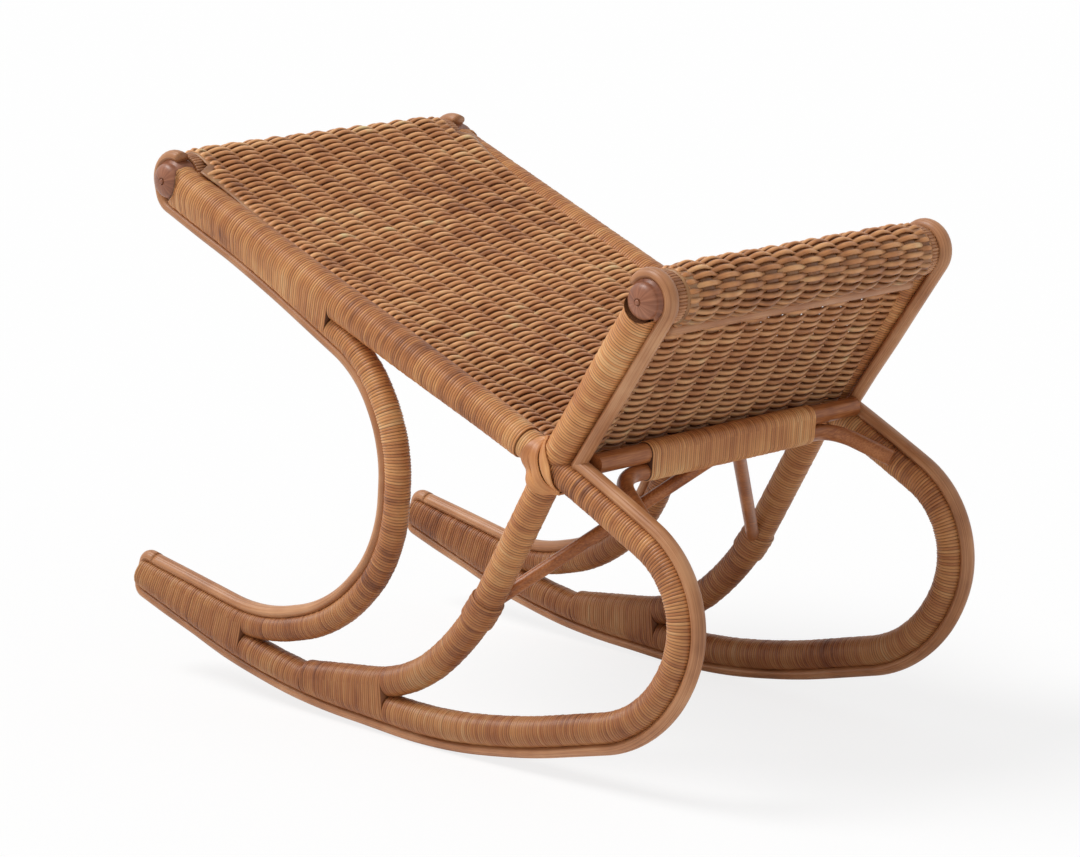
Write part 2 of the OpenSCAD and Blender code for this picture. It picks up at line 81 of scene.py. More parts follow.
# %% Turn corners into a route of straights and arcs
tiny = 0.0002


def unit(v):
    return np.asarray(v, float) / norm(v)


def right_of(u):
    """A quarter turn to the right of a heading, in the plane of a side frame."""
    u = np.asarray(u, float)
    return np.stack([u[..., 1], -u[..., 0]], -1)


def toward(angle):
    return np.stack([np.cos(angle), np.sin(angle)], -1)


def bent_route(corners, shares):
    corners = [np.asarray(c, float) for c in corners]
    last = len(corners) - 1
    cuts = [0.0] * len(corners)
    for i in range(1, last):
        sides = [norm(corners[i + d] - corners[i]) for d in (-1, 1)]
        cuts[i] = shares[i] * min(sides)
    route = []
    for i in range(last):
        u = unit(corners[i + 1] - corners[i])
        length = norm(corners[i + 1] - corners[i]) - cuts[i] - cuts[i + 1]
        if length > tiny:
            route.append(("straight", corners[i] + cuts[i] * u, u, length))
        if i < last - 1:
            v = unit(corners[i + 2] - corners[i + 1])
            turn = math.atan2(u[0] * v[1] - u[1] * v[0], u @ v)
            radius = cuts[i + 1] / math.tan(abs(turn) / 2)
            begin = corners[i + 1] - cuts[i + 1] * u
            centre = begin - math.copysign(radius, turn) * right_of(u)
            spoke = begin - centre
            route.append(("arc", centre, radius, math.atan2(spoke[1], spoke[0]), turn))
    return route


elbow = bent_route([(0, 0), (1, 0), (1, 1)], [0, 0.5, 0])
print("an elbow is made of", [part[0] for part in elbow])

# %% Lengths, points and headings
def part_length(part):
    return part[3] if part[0] == "straight" else part[2] * abs(part[4])


def route_length(route):
    return sum(part_length(part) for part in route)


def walk(route, distances):
    """Points and headings at these distances; the end straights carry on past the ends."""
    s = np.atleast_1d(np.asarray(distances, float))
    points, headings = np.zeros((len(s), 2)), np.zeros((len(s), 2))
    done = 0.0
    for i, part in enumerate(route):
        length = part_length(part)
        here = (s >= done if i else s > -9) & ((s < done + length) | (i == len(route) - 1))
        d = (s[here] - done)[:, None]
        if part[0] == "straight":
            points[here], headings[here] = part[1] + d * part[2], part[2]
        else:
            g = part[3] + part[4] * d[:, 0] / length
            round_it = toward(g)
            points[here] = part[1] + part[2] * round_it
            headings[here] = -math.copysign(1, part[4]) * right_of(round_it)
        done += length
    return points, headings


print("the elbow is %.3f long" % route_length(elbow))

# %% [markdown]
# ## The poles of a side frame
# One long pole makes the tail, the rocker, the front loop and the rail of the leg panel. The
# rear leg hangs from that rail, the middle leg starts at the vee, and a straight post holds
# the footboard. Corners keep the list short: the third number is the share of the bend.

# %% Routes of the side frame
side_corners = [
    (-1.0275, 0.1535, 0), (-0.49, 0.022, 0.5), (0.141, -0.0042, 0.5), (0.433, 0.023, 0.45),
    (0.922, 0.111, 0.5), (1.05, 0.384, 0.5), (0.558, 0.571, 0.5), (-0.872, 1, 0),
]
leg_corners = [
    (-0.886, 0.974, 0), (-0.548, 0.868, 0.4), (-0.117, 0.702, 0.45), (-0.003, 0.545, 0.48),
    (-0.027, 0.316, 0.48), (-0.244, 0.151, 0.48), (-0.545, 0.094, 0.41), (-0.99, 0.158, 0),
]
middle_corners = [(0.267, 0.204, 0.5), (0.038, 0.063, 0.49), (-0.31, 0.033, 0)]


def route_of(corners, start=()):
    """A route through corners given as shares, from a start that is already a point."""
    return bent_route([*start, *(spot(c[0], c[1]) for c in corners)],
                      [0] * len(start) + [c[2] for c in corners])


side = route_of(side_corners)
side_l = route_length(side)
tries = np.linspace(side_l / 2, side_l, 4000)
vee_s = tries[np.argmin(norm(walk(side, tries)[0] - spot(*side_corners[6][:2]), axis=1))]
vee = walk(side, vee_s)[0][0]
rear_top, foot_top = spot(*side_corners[7][:2]), spot(0.889, 0.912)
leg = route_of(leg_corners)
leg_l = route_length(leg)
middle = route_of(middle_corners, [vee])
middle_l = route_length(middle)
rail_u, post_u = unit(rear_top - vee), unit(foot_top - vee)
rail_n, post_n = right_of(rail_u), right_of(post_u)
post_l = norm(foot_top - vee)
post = [("straight", vee, post_u, post_l)]
print("long pole %.3f m, rear leg %.3f m, middle leg %.3f m" % (side_l, leg_l, middle_l))

# %% [markdown]
# ## From rings to a skin
# Every wound, woven or edged piece is a closed skin drawn over a row of rings. A curve with a
# bevel could do it too, but whole arrays keep even a thousand turns of cane quick, and they
# give each corner a place around and along the piece, which the finishes use later on. A
# piece may hold many such shells, so they are all handed to Blender in one go.

# %% Faces between the rings
def circle(count):
    return np.arange(count) / count * 2 * math.pi


def placed(rings, around, along):
    """Rings N x M x 3 with their places: around for M + 1 corners, along for N rings."""
    shape = (rings.shape[0], rings.shape[1] + 1)
    return rings, np.broadcast_to(around, shape), np.broadcast_to(along[:, None], shape)


def faces_between(rings):
    """Rows and columns of each quad's corners, and the two ends, all facing outward."""
    n, m = rings.shape[:2]
    i, j = np.meshgrid(np.arange(n - 1), np.arange(m), indexing="ij")
    rows = np.stack([i, i, i + 1, i + 1], -1).reshape(-1, 4)
    columns = np.stack([j, j + 1, j + 1, j], -1).reshape(-1, 4)
    flat = rings.reshape(-1, 3) - rings.reshape(-1, 3).mean(0)
    quads = rows * m + columns % m
    a, b, c, d = (flat[quads[:, k]] for k in range(4))
    volume = (np.cross(a, b) * c).sum() + (np.cross(a, c) * d).sum()
    ends = [np.arange(m)[::-1], (n - 1) * m + np.arange(m)]
    if volume < 0:
        rows, columns = rows[:, ::-1], columns[:, ::-1]
        ends = [e[::-1] for e in ends]
    return rows, columns, ends


print(len(circle(8)), "points make a small ring")

# %% Draw a skin
def in_scene(name, data):
    """A new object that shows this mesh, lamp or camera."""
    made = bpy.data.objects.new(name, data)
    bpy.context.scene.collection.objects.link(made)
    return made


def skin(name, shells, finish, body="root"):
    points, corners, totals, places = [], [], [], []
    base = 0
    for rings, around, along in shells:
        n, m = rings.shape[:2]
        rows, columns, ends = faces_between(rings)
        points.append(rings.reshape(-1, 3))
        corners.append((rows * m + columns % m).ravel() + base)
        places.append(np.stack([around[rows, columns].ravel(), along[rows, columns].ravel()], -1))
        totals.append(np.full(len(rows), 4))
        for e in ends:
            corners.append(e + base)
            places.append(np.stack([around[e // m, e % m], along[e // m, e % m]], -1))
            totals.append([m])
        base += n * m
    points, corners, totals = (np.concatenate(v) for v in (points, corners, totals))
    mesh = bpy.data.meshes.new(name)
    mesh.vertices.add(len(points))
    mesh.vertices.foreach_set("co", points.astype(np.float32).ravel())
    mesh.loops.add(len(corners))
    mesh.loops.foreach_set("vertex_index", corners.astype(np.int32))
    mesh.polygons.add(len(totals))
    mesh.polygons.foreach_set("loop_start", (np.cumsum(totals) - totals).astype(np.int32))
    mesh.polygons.foreach_set("loop_total", totals.astype(np.int32))
    mesh.polygons.foreach_set("use_smooth", np.ones(len(totals), bool))
    layer = mesh.uv_layers.new(name="Cane")
    layer.data.foreach_set("uv", np.concatenate(places).astype(np.float32).ravel())
    mesh.update(calc_edges=True)
    mesh.validate()
    mesh.materials.append(finish)
    piece = in_scene(name, mesh)
    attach(piece, body)
    return piece


print("skins are ready to draw")

# %% [markdown]
# ## The left side from the right
# Both side frames are bent on one jig. Only the right one is built, at negative Y, and the
# left one is a copy with Y turned round. A mirror modifier would keep both in one object,
# and then neither could stand for its own CAD node.

# %% Copy a piece to the other side
def other_side(piece, name):
    mesh = piece.data.copy()
    mesh.name = name
    points = np.zeros(len(mesh.vertices) * 3, np.float32)
    mesh.vertices.foreach_get("co", points)
    points[1::3] *= -1
    mesh.vertices.foreach_set("co", points)
    mesh.flip_normals()
    mesh.update()
    twin = in_scene(name, mesh)
    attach(twin, "root")
    return twin


def both_sides(node, shells, finish):
    """A dressed piece that stands for right_NODE, and its twin for left_NODE."""
    piece = skin("dressed_right_" + node, shells, finish)
    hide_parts("right_" + node)
    twin = other_side(piece, "dressed_left_" + node)
    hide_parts("left_" + node)
    print(node, len(piece.data.polygons), "faces a side")


print("the right side stands at Y %.3f" % -frame_y)

# %% [markdown]
# ## Finishes
# Old varnished cane is never one colour: each turn comes from another part of the vine, the
# grooves between turns get painted shade, and whole stretches have faded or stained. A photograph
# could be laid over it, but nodes that read the piece's own places around and along stay
# sharp at any distance, and their streaks follow every bend.

# %% A small kit for wiring shader nodes
class Wiring:
    """A node tree under construction: most calls add a node and give back its output."""

    def __init__(self, tree):
        self.tree = tree

    def wire(self, source, made, socket):
        """Puts a number, a colour or another node's output into a socket."""
        if isinstance(source, (int, float, tuple)):
            made.inputs[socket].default_value = source
        else:
            self.tree.links.new(source, made.inputs[socket])

    def node(self, kind, *fed, **settings):
        """A node whose first sockets are fed in turn; None leaves a socket alone."""
        made = self.tree.nodes.new(kind)
        for key, value in settings.items():
            setattr(made, key, value)
        for k, value in enumerate(fed):
            if value is not None:
                self.wire(value, made, k)
        return made

    def sum(self, operation, a, b=0.0, c=None):
        return self.node("ShaderNodeMath", a, b, c, operation=operation).outputs[0]

    def times(self, a, b, plus=None):
        return self.sum("MULTIPLY" if plus is None else "MULTIPLY_ADD", a, b, plus)

    def join(self, x, y, z=0.0):
        return self.node("ShaderNodeCombineXYZ", x, y, z).outputs[0]

    def split(self, vector):
        return self.node("ShaderNodeSeparateXYZ", vector).outputs[:3]

    def chance(self, value):
        kind = "ShaderNodeTexWhiteNoise"
        return self.node(kind, None, value, noise_dimensions="1D").outputs[0]

    def noise(self, vector, scale, detail):
        made = self.node("ShaderNodeTexNoise", vector)
        made.inputs["Scale"].default_value = scale
        made.inputs["Detail"].default_value = detail
        return made.outputs[0]

    def streaks(self, x, x_scale, y, y_scale, detail):
        """Noise drawn out along the way that has the smaller scale."""
        return self.noise(self.join(self.times(x, x_scale), self.times(y, y_scale)), 1.0, detail)

    def places(self):
        """Around and along, as the skin wrote them."""
        return self.split(self.node("ShaderNodeUVMap", uv_map="Cane").outputs[0])[:2]

    def room(self):
        return self.node("ShaderNodeTexCoord").outputs["Object"]

    def below(self, top, growth, most):
        """0 above this height, then growing by this much a metre beneath it, up to most."""
        growing = self.times(self.split(self.room())[2], -growth, growth * top)
        return self.sum("MINIMUM", self.sum("MAXIMUM", growing, 0.0), most)

    def facing_up(self):
        return self.split(self.node("ShaderNodeTexCoord").outputs["Normal"])[2]

    def ramp(self, value, stops):
        made = self.node("ShaderNodeValToRGB", value)
        bar = made.color_ramp
        while len(bar.elements) < len(stops):
            bar.elements.new(0.5)
        for element, (place, colour) in zip(bar.elements, stops):
            element.position = place
            element.color = (*colour, 1)
        return made.outputs[0]

    def darken(self, colour, amount, shade):
        """Blends colour towards shade by amount."""
        made = self.node("ShaderNodeMix", amount, data_type="RGBA")
        self.wire(colour, made, 6)
        self.wire((*shade, 1), made, 7)
        return made.outputs[2]


print("the kit has", len([call for call in vars(Wiring) if call[0] != "_"]), "calls")

# %% A material that starts from the plain shader
class Finish(Wiring):
    def __init__(self, name, roughness, coat):
        self.material = bpy.data.materials.new(name)
        self.material.use_nodes = True
        super().__init__(self.material.node_tree)
        self.shader = self.tree.nodes["Principled BSDF"]
        self.shader.inputs["Coat Weight"].default_value = coat
        self.shader.inputs["Coat Roughness"].default_value = 0.3
        self.shader.inputs["Specular IOR Level"].default_value = 0.35
        self.shader.inputs["Roughness"].default_value = roughness

    def done(self, colour, rough, height, strength, distance):
        self.wire(colour, self.shader, "Base Color")
        self.wire(rough, self.shader, "Roughness")
        bump = self.node("ShaderNodeBump")
        bump.inputs["Strength"].default_value = strength
        bump.inputs["Distance"].default_value = distance
        self.wire(height, bump, "Height")
        self.wire(bump.outputs[0], self.shader, "Normal")
        return self.material


print("a finish starts from the Principled shader")

# %% [markdown]
# ## Wound cane
# The winding gets one tone a turn, painted shade in its grooves and a broad stain that runs over
# neighbouring pieces, which is why the stain is read from the room and not from the piece. Low
# down the colour is blended darker by height.

# %% Finish for the windings
def wound_cane(name, stops, painted_groove_shade, low_shade):
    f = Finish(name, 0.45, 0.12)
    around, turns = f.places()
    turn = f.sum("FLOOR", turns)
    strand = f.streaks(around, 30.0, turn, 3.7, 3.0)
    stain = f.noise(f.room(), 14.0, 4.0)
    mixed = f.times(f.chance(turn), 0.18, f.times(strand, 0.5))
    mixed = f.times(stain, 0.95, f.sum("SUBTRACT", mixed, 0.33))
    colour = f.ramp(mixed, stops)
    edge = f.sum("ABSOLUTE", f.times(f.sum("FRACT", turns), 2.0, -1.0))
    groove_strength = f.times(f.chance(f.sum("ADD", turn, 0.37)), 0.6, 0.4)
    groove = f.times(f.sum("POWER", edge, 4.0), groove_strength)
    # painted shade in the grooves between turns, stronger in some grooves than others
    colour = f.darken(colour, groove, painted_groove_shade)
    # darker towards the bottom: blended in below 0.3 m, up to 0.42 near the floor
    colour = f.darken(colour, f.below(0.3, 1.75, 0.42), low_shade)
    fibres = f.streaks(around, 260.0, turns, 7.0, 2.0)
    rough = f.times(fibres, 0.25, 0.33)
    height = f.sum("SUBTRACT", f.times(fibres, 0.35), groove)
    return f.done(colour, rough, height, 0.6, 0.0004)


honey_stops = [(0.20, (0.200, 0.062, 0.018)), (0.40, (0.500, 0.188, 0.060)),
               (0.62, (0.690, 0.315, 0.110)), (0.86, (0.820, 0.500, 0.230))]
# after the stops: the painted shade colour for the grooves, then the colour blended in low down
honey = wound_cane("honey_wound_cane", honey_stops, (0.060, 0.016, 0.004), (0.100, 0.016, 0.001))
print("made", honey.name)

# %% [markdown]
# ## Smooth cane
# Edging, straps and knobs show the cane's own skin, with long streaks that run with the
# piece. Wood textures often use rings or waves; stretched noise is closer to cane, which has
# no year rings.

# %% Finish for smooth cane
def along_grain(name, stops, streaks=900.0, runs=9.0, coat=0.15):
    f = Finish(name, 0.42, coat)
    around, along = f.places()
    streak = f.streaks(around, streaks, along, runs, 3.0)
    stain = f.noise(f.room(), 18.0, 3.0)
    mixed = f.times(streak, 0.6, f.times(stain, 0.7, -0.15))
    rough = f.times(streak, 0.22, 0.34)
    return f.done(f.ramp(mixed, stops), rough, streak, 0.35, 0.0003)


straw_stops = [(0.25, (0.230, 0.082, 0.029)), (0.5, (0.450, 0.195, 0.082)),
               (0.75, (0.640, 0.345, 0.175))]
straw = along_grain("smooth_cane_edging", straw_stops)
honey_strap = along_grain("flat_cane_strap", honey_stops, 700.0, 14.0)
print("made", straw.name, "and", honey_strap.name)

# %% [markdown]
# ## Woven strands
# Each strand has its own tone. Painted shade lies along its sides, dirt and painted shade where
# it dives under a stake, more side shade and a painted shadow low in the vee, and painted shade
# on faces that turn down. All of that could be painted by hand, but the strand's number, its
# places, its height and the way it faces say it for every strand at once.

# %% Finish for the woven strands
def woven_cane(name, stops, shade, low_shade, under_shade):
    f = Finish(name, 0.45, 0.1)
    around, along = f.places()
    strand = f.sum("FLOOR", around)
    run = f.streaks(along, 1.3, strand, 5.3, 2.0)
    fibres = f.streaks(along, 1.6, around, 14.0, 2.0)
    stain = f.noise(f.room(), 9.0, 3.0)
    mixed = f.times(f.chance(strand), 0.16, f.times(run, 0.62))
    mixed = f.times(fibres, 0.15, mixed)
    mixed = f.times(stain, 0.35, f.sum("SUBTRACT", mixed, 0.12))
    colour = f.ramp(mixed, stops)
    # painted shadow low in the vee, where the weave lies in shade
    low = f.below(3.3 / 8.3, 8.3, 1.0)
    colour = f.darken(colour, f.times(low, 0.27), low_shade)
    # painted shade along each strand's sides, stronger low in the vee
    flank = f.sum("ABSOLUTE", f.sum("COSINE", f.times(around, 2 * math.pi)))
    flank_shade = f.times(low, 0.3, 0.55)
    colour = f.darken(colour, f.times(f.sum("POWER", flank, 4.0), flank_shade), shade)
    # dirt and painted shade where a strand dives under a stake
    dive = f.sum("ABSOLUTE", f.sum("SINE", f.times(along, math.pi)))
    colour = f.darken(colour, f.times(f.sum("POWER", dive, 7.0), 0.25), shade)
    # painted shade on faces that turn down, away from the lamp
    under = f.sum("MAXIMUM", f.times(f.facing_up(), -0.30, 0.10), 0.0)
    colour = f.darken(colour, under, under_shade)
    rough = f.times(fibres, 0.25, 0.33)
    return f.done(colour, rough, fibres, 0.3, 0.0003)


weave_stops = [(0.22, (0.226, 0.074, 0.024)), (0.45, (0.611, 0.254, 0.088)),
               (0.65, (0.880, 0.457, 0.195)), (0.85, (0.880, 0.781, 0.410))]
# shade colours: painted shade on sides and dives, painted shadow low in the vee, painted shade on
# faces turned down
weave_finish = woven_cane("woven_cane", weave_stops, (0.050, 0.013, 0.004),
                          (0.075, 0.024, 0.012), (0.100, 0.014, 0.004))
print("made", weave_finish.name)

# %% [markdown]
# ## Winding a pole
# The winder lays flat cane edge to edge round the pole. Bump alone would leave the outline
# smooth, so each turn is real: a shallow rounded band with a groove at each side, drawn with
# four rings. Turns never lie quite square or quite tight, so each is leant and loosened a
# little. At a knob the real winding is cut to fit round it. A boolean would leave ragged
# ends; sliding the points that lie inside the knob outward leaves them clean.

# %% Rings of a winding
pitch, groove_deep, loosest = 0.0027, 0.0007, 0.0004
turn_profile = np.array([1.0, 0.16, 0.0, 0.16])


def turn_rings(length):
    """Distances of the rings over a winding, how deep each lies, and its turn number."""
    turns = max(2, round(length / pitch))
    k = np.arange(turns * 4 + 1)
    loose = np.repeat(rng.uniform(0, loosest, turns + 1), 4)[: len(k)]
    return k / (turns * 4) * length, groove_deep * turn_profile[k % 4] + loose, k / 4


def own_numbers(turn):
    """Starts a winding's turn numbers at a place of its own, so that no two share tones."""
    return turn + 40 * rng.integers(1, 90)


def drift(count, size, smooth):
    """A slow random wander, for leans and wobbles."""
    knots = rng.normal(0, size, max(3, count // smooth + 2))
    return np.interp(np.linspace(0, len(knots) - 1, count), np.arange(len(knots)), knots)


print("a turn is %.1f mm wide and its groove %.1f mm deep" % (pitch * 1e3, groove_deep * 1e3))

# %% Wind a round pole
cope_r = 0.0186


def raised(flat, y):
    """Points of the side view as points of the room, at this y."""
    return np.stack([flat[..., 0], np.broadcast_to(y, flat.shape[:-1]), flat[..., 1]], -1)


def in_frame(points, u, across, rise, lean=0.0):
    """Rings of the right side frame: across lies right of the travel, rise is along Y."""
    flat = points[:, None, :] + right_of(u)[:, None, :] * across[..., None]
    flat = flat + u[:, None, :] * np.asarray(lean)[..., None]
    return raised(flat, rise - frame_y)


def wound_pole(route, begin, end, radius, columns=30):
    """radius is one number, or pairs of distance and radius."""
    taper = radius if isinstance(radius, list) else [(0, radius)]
    s, deep, turn = turn_rings(end - begin)
    points, u = walk(route, begin + s)
    g = circle(columns)
    r = (np.interp(s, *zip(*taper)) - deep)[:, None]
    settled = np.clip(np.minimum(s, s[-1] - s) / 0.01, 0, 1)[:, None]
    lean = drift(len(s), 0.0005, 60)[:, None] * np.cos(g + 0.7) * settled
    rings = in_frame(points, u, r * np.cos(g), r * np.sin(g), lean)
    around = np.arange(columns + 1) / columns * 2 * math.pi * taper[0][1]
    return placed(rings, around, own_numbers(turn))


def bare_pole(route, begin, end, radius, columns=20, step=0.006):
    s = np.linspace(begin, end, max(2, int((end - begin) / step)))
    points, u = walk(route, s)
    g = circle(columns)
    around = np.arange(columns + 1) / columns * 2 * math.pi * radius
    return placed(in_frame(points, u, radius * np.cos(g), radius * np.sin(g)), around, s)


def cope(shell, centre):
    """Fits a winding's end round a knob, by sliding what lies inside it outward."""
    rings, around, along = shell
    flat = rings[..., [0, 2]] - centre
    far = norm(flat, axis=-1, keepdims=True)
    flat = np.where(far < cope_r, flat / np.maximum(far, 1e-6) * cope_r, flat)
    return raised(flat + centre, rings[..., 1]), around, along


print("windings are coped %.1f mm from a knob's middle" % (cope_r * 1e3))

# %% [markdown]
# ## Binding two poles
# Where a leg lies along the long pole, the cane goes round both, so a turn has the outline
# round two circles. Two windings pushed into each other would show a valley there. For each
# turn, the middles of both poles are found in the plane that lies square between them.

# %% Bind a pair of poles
def pair_at(s, other, low, high):
    """Middles of both poles, the length along the other one, and how slant they run."""
    p, h = (v[0] for v in walk(side, s))
    tries = np.linspace(low, high, 3000)
    points, headings = walk(other, tries)
    w_h = headings[np.argmin(norm(points - p, axis=1))]
    u = unit(h + w_h if h @ w_h > 0 else h - w_h)
    w_s = tries[np.argmin(np.abs((points - p) @ u))]
    q = walk(other, w_s)[0][0]
    return p, q - u * ((q - p) @ u), w_s, 1 / abs(h @ u)


def bound_pair(begin, end, r, other, low, high, q):
    """Cane round the side pole, r thick, and the other pole, q thick."""
    s, deep, turn = turn_rings(end - begin)
    t = np.linspace(0, 1, 15)
    rings = []
    for k, d in enumerate(s):
        c, e, _, slant = pair_at(begin + d, other, low, high)
        gap = norm(e - c) / slant
        way = (e - c) / gap
        big, small = r - deep[k], q - deep[k]
        tangent = math.acos(max(-1, min(1, (big - small) / gap)))
        g1 = -tangent + 2 * tangent * t
        g2 = tangent + (2 * math.pi - 2 * tangent) * t
        flat = np.concatenate([e + small * np.cos(g1)[:, None] * way,
                               c + big * np.cos(g2)[:, None] * way])
        rise = np.concatenate([small * np.sin(g1), big * np.sin(g2)])
        rings.append(raised(flat, rise - frame_y))
    rings = np.array(rings)
    closed = np.concatenate([rings, rings[:, :1]], 1)
    steps = norm(np.diff(closed, axis=1), axis=-1)
    around = np.concatenate([np.zeros((len(s), 1)), np.cumsum(steps, 1)], 1)
    return placed(rings, around, own_numbers(turn))


rail_band_s = side_l - 0.455 * (side_l - vee_s)
tail_band_s = side_l * 0.1
heel_band_s = (side_l * 0.158, side_l * 0.232)
leg_rear, leg_tail = (-2 * pole_r, leg_l / 2), (leg_l / 2, leg_l + 2 * pole_r)
middle_range = (middle_l / 2, middle_l + 2 * pole_r)
leg_from_s = pair_at(rail_band_s, leg, *leg_rear)[2]
leg_to_s = pair_at(tail_band_s, leg, *leg_tail)[2]
middle_to_s = pair_at(heel_band_s[1], middle, *middle_range)[2]
print("rail band from %.3f, tail band to %.3f, heel band %.3f to %.3f"
      % (rail_band_s, tail_band_s, *heel_band_s))

# %% [markdown]
# ## The wound poles and their bands
# A single pole is wound up to the first turn of the band that binds it to a neighbour: under
# the rear knob, along the rocker's heel or at the tail. The rail's and the post's windings
# also hold the ends of the weave, so they are thicker and swell away from the vee. One sweep
# could run through all of it, but stretches wound by themselves keep the real ends visible.

# %% Wind the side frames' poles
rail_start, end_gap, past_end = 0.036, pole_r * 0.5, 0.0035
rail_taper = [(0, 0.0162), (0.09, 0.0172), (0.16, rail_r)]
post_taper = [(0, 0.0154), (0.05, 0.0162), (0.13, rail_r)]


def wrapped(node, *shells):
    both_sides(node, shells, honey)


wrapped("side_pole", bare_pole(side, 0, side_l - knob_r, core_r),
        wound_pole(side, tail_band_s, heel_band_s[0], pole_r),
        wound_pole(side, heel_band_s[1], vee_s + rail_start, pole_r))
wrapped("rear_leg", wound_pole(leg, leg_from_s, leg_to_s, leg_r))
wrapped("middle_leg", wound_pole(middle, pole_r * 0.7, middle_to_s, pole_r))
wrapped("rail_wrap", wound_pole(side, vee_s + rail_start, rail_band_s, rail_taper, 36))
wrapped("post_wrap", cope(wound_pole(post, end_gap, post_l - end_gap, post_taper, 36), foot_top))

# %% Bind the pairs
wrapped("rail_band", cope(bound_pair(rail_band_s, side_l - end_gap, rail_r, leg, *leg_rear, leg_r),
                          rear_top))
wrapped("tail_band", bound_pair(-past_end, tail_band_s, pole_r, leg, *leg_tail, leg_r))
wrapped("heel_band", bound_pair(*heel_band_s, pole_r, middle, *middle_range, pole_r))

# %% [markdown]
# ## Half-round edging
# A half-round strip of smooth cane is pinned along the outer side of each frame. A curve with
# a bevel object could carry it, but then it would miss its places. Here a low half circle
# with two fine creases is swept along the pole's own route, set aside by the pole's radius,
# and its back is sunk a little, so that no light shows between it and the winding. Its tight
# corners and hooks need no more than a corner list with one radius and a plain arc.

# %% Sweep the edging
shoulder, sunk, tuck, wide = 0.0022, 0.0014, 0.0026, edging_r * 0.86


def beside(route, d):
    moved = []
    for part in route:
        if part[0] == "straight":
            moved.append(("straight", part[1] + d * right_of(part[2]), part[2], part[3]))
        else:
            radius = part[2] + math.copysign(d, part[4])
            moved.append(("arc", part[1], radius, part[3], part[4]))
    return moved


def stations(route, end, step):
    """Even steps along straights, and a ring for each ten degrees of a tight bend."""
    marks, done = [0.0], 0.0
    for part in route:
        length = part_length(part)
        bends = math.ceil(abs(part[4]) / math.radians(10)) if part[0] == "arc" else 1
        count = max(1, math.ceil(length / step), bends)
        marks += [done + length * (i + 1) / count for i in range(count)]
        done += length
    return np.array([m for m in marks if m < end - tiny] + [end])


def half_round(route, end, step=0.004):
    s = stations(route, end, step)
    points, u = walk(route, s)
    g = np.linspace(-math.pi / 2, math.pi / 2, 41)
    crease = 1 - 0.06 * np.exp(-((np.abs(g) - 0.62) / 0.045) ** 2)
    back = shoulder + (edging_r - shoulder) * crease * np.cos(g)
    x = np.concatenate([[-sunk], back, [-sunk]])
    y = np.concatenate([[-wide + tuck], wide * crease * np.sin(g), [wide - tuck]])
    wobble = drift(len(s), 0.00025, 12)[:, None] * (x > 0)
    rings = in_frame(points, u, x + wobble, y)
    return placed(rings, np.append(np.arange(len(y)), 0) * 0.0007, s)


print("edging %.1f mm wide" % (2e3 * wide))

# %% Rounded corners and crossings
def rounded(corners, radius):
    """A route through corners whose bends all have this radius."""
    shares = [0.0]
    for a, b, c in zip(corners, corners[1:], corners[2:]):
        u, v = unit(b - a), unit(c - b)
        turn = abs(math.atan2(u[0] * v[1] - u[1] * v[0], u @ v))
        shorter = min(norm(b - a), norm(c - b))
        shares.append(radius * math.tan(turn / 2) / shorter)
    return bent_route(corners, shares + [0.0])


def crossing(p, u, q, v):
    """Where the line through p along u meets the line through q along v."""
    gap = q - p
    return p + u * (gap[0] * v[1] - gap[1] * v[0]) / (u[0] * v[1] - u[1] * v[0])


print("lines cross at", crossing(np.zeros(2), np.array([1, 0]), np.ones(2), np.array([0, 1])))

# %% [markdown]
# ## Laying the edging
# The lower strip starts on the rear leg's end, goes round the tail and follows the rocker and
# the loop up to the vee, where it meets the foot strip in a mitre. The foot strip runs up the
# post and half round its knob, and the rear strip hooks round the other knob and goes down
# the leg. A boolean could cut the mitre, but it is enough to end the lower strip where it
# comes as close to the post as the foot strip lies.

# %% Lay the lower edging
tail = spot(*side_corners[0][:2])
tail_u = walk(side, 0)[1][0]
reach, past_tail = pole_r + seat, 0.03
corner = tail + reach * right_of(tail_u) - wrap_t * tail_u
leg_end, leg_u = (v[0] for v in walk(leg, leg_l))
leg_end = leg_end + (leg_r + seat) * right_of(leg_u)
top = crossing(leg_end, leg_u, corner, right_of(tail_u))
round_tail = rounded([leg_end, top, corner, corner + tail_u * past_tail], 0.005)
last = round_tail[-1]
beside_side = beside(side, reach)
outer = [("straight", last[1] + last[2] * part_length(last), tail_u,
          beside_side[0][3] - past_tail + wrap_t), *beside_side[1:]]
tries = np.linspace(vee_s - 0.08, vee_s + 0.02, 2000)
vee_miss = (walk(beside_side, tries)[0] - vee) @ post_n - knob_r
vee_edge_s = tries[np.argmin(np.abs(vee_miss))]
lower_l = route_length(round_tail) + vee_edge_s - past_tail + wrap_t
both_sides("lower_edging", [half_round(round_tail + outer, lower_l)], straw)

# %% Hook the rear edging round the knob and down the leg
start, hook = math.atan2(rail_n[1], rail_n[0]), math.radians(125)
stop = start + hook
leave, way = rear_top + knob_r * toward(stop), -right_of(toward(stop))
down = beside(leg, leg_r + seat)
_, foot, foot_u, foot_l = down[0]
meet = crossing(leave, way, foot, foot_u)
rear_route = [("arc", rear_top, knob_r, start, hook),
              *bent_route([leave, meet, foot + foot_u * foot_l], [0, 0.45, 0]), *down[1:]]
both_sides("rear_edging", [half_round(rear_route, route_length(rear_route))], straw)

# %% Run the foot edging up the post and over its knob
begin = (walk(beside_side, vee_edge_s)[0][0] - vee) @ post_u
up_post = ("straight", vee + begin * post_u + knob_r * post_n, post_u, post_l - begin)
foot_arc = ("arc", foot_top, knob_r, math.atan2(post_n[1], post_n[0]), math.pi)
foot_route = [up_post, foot_arc]
both_sides("foot_edging", [half_round(foot_route, route_length(foot_route))], straw)

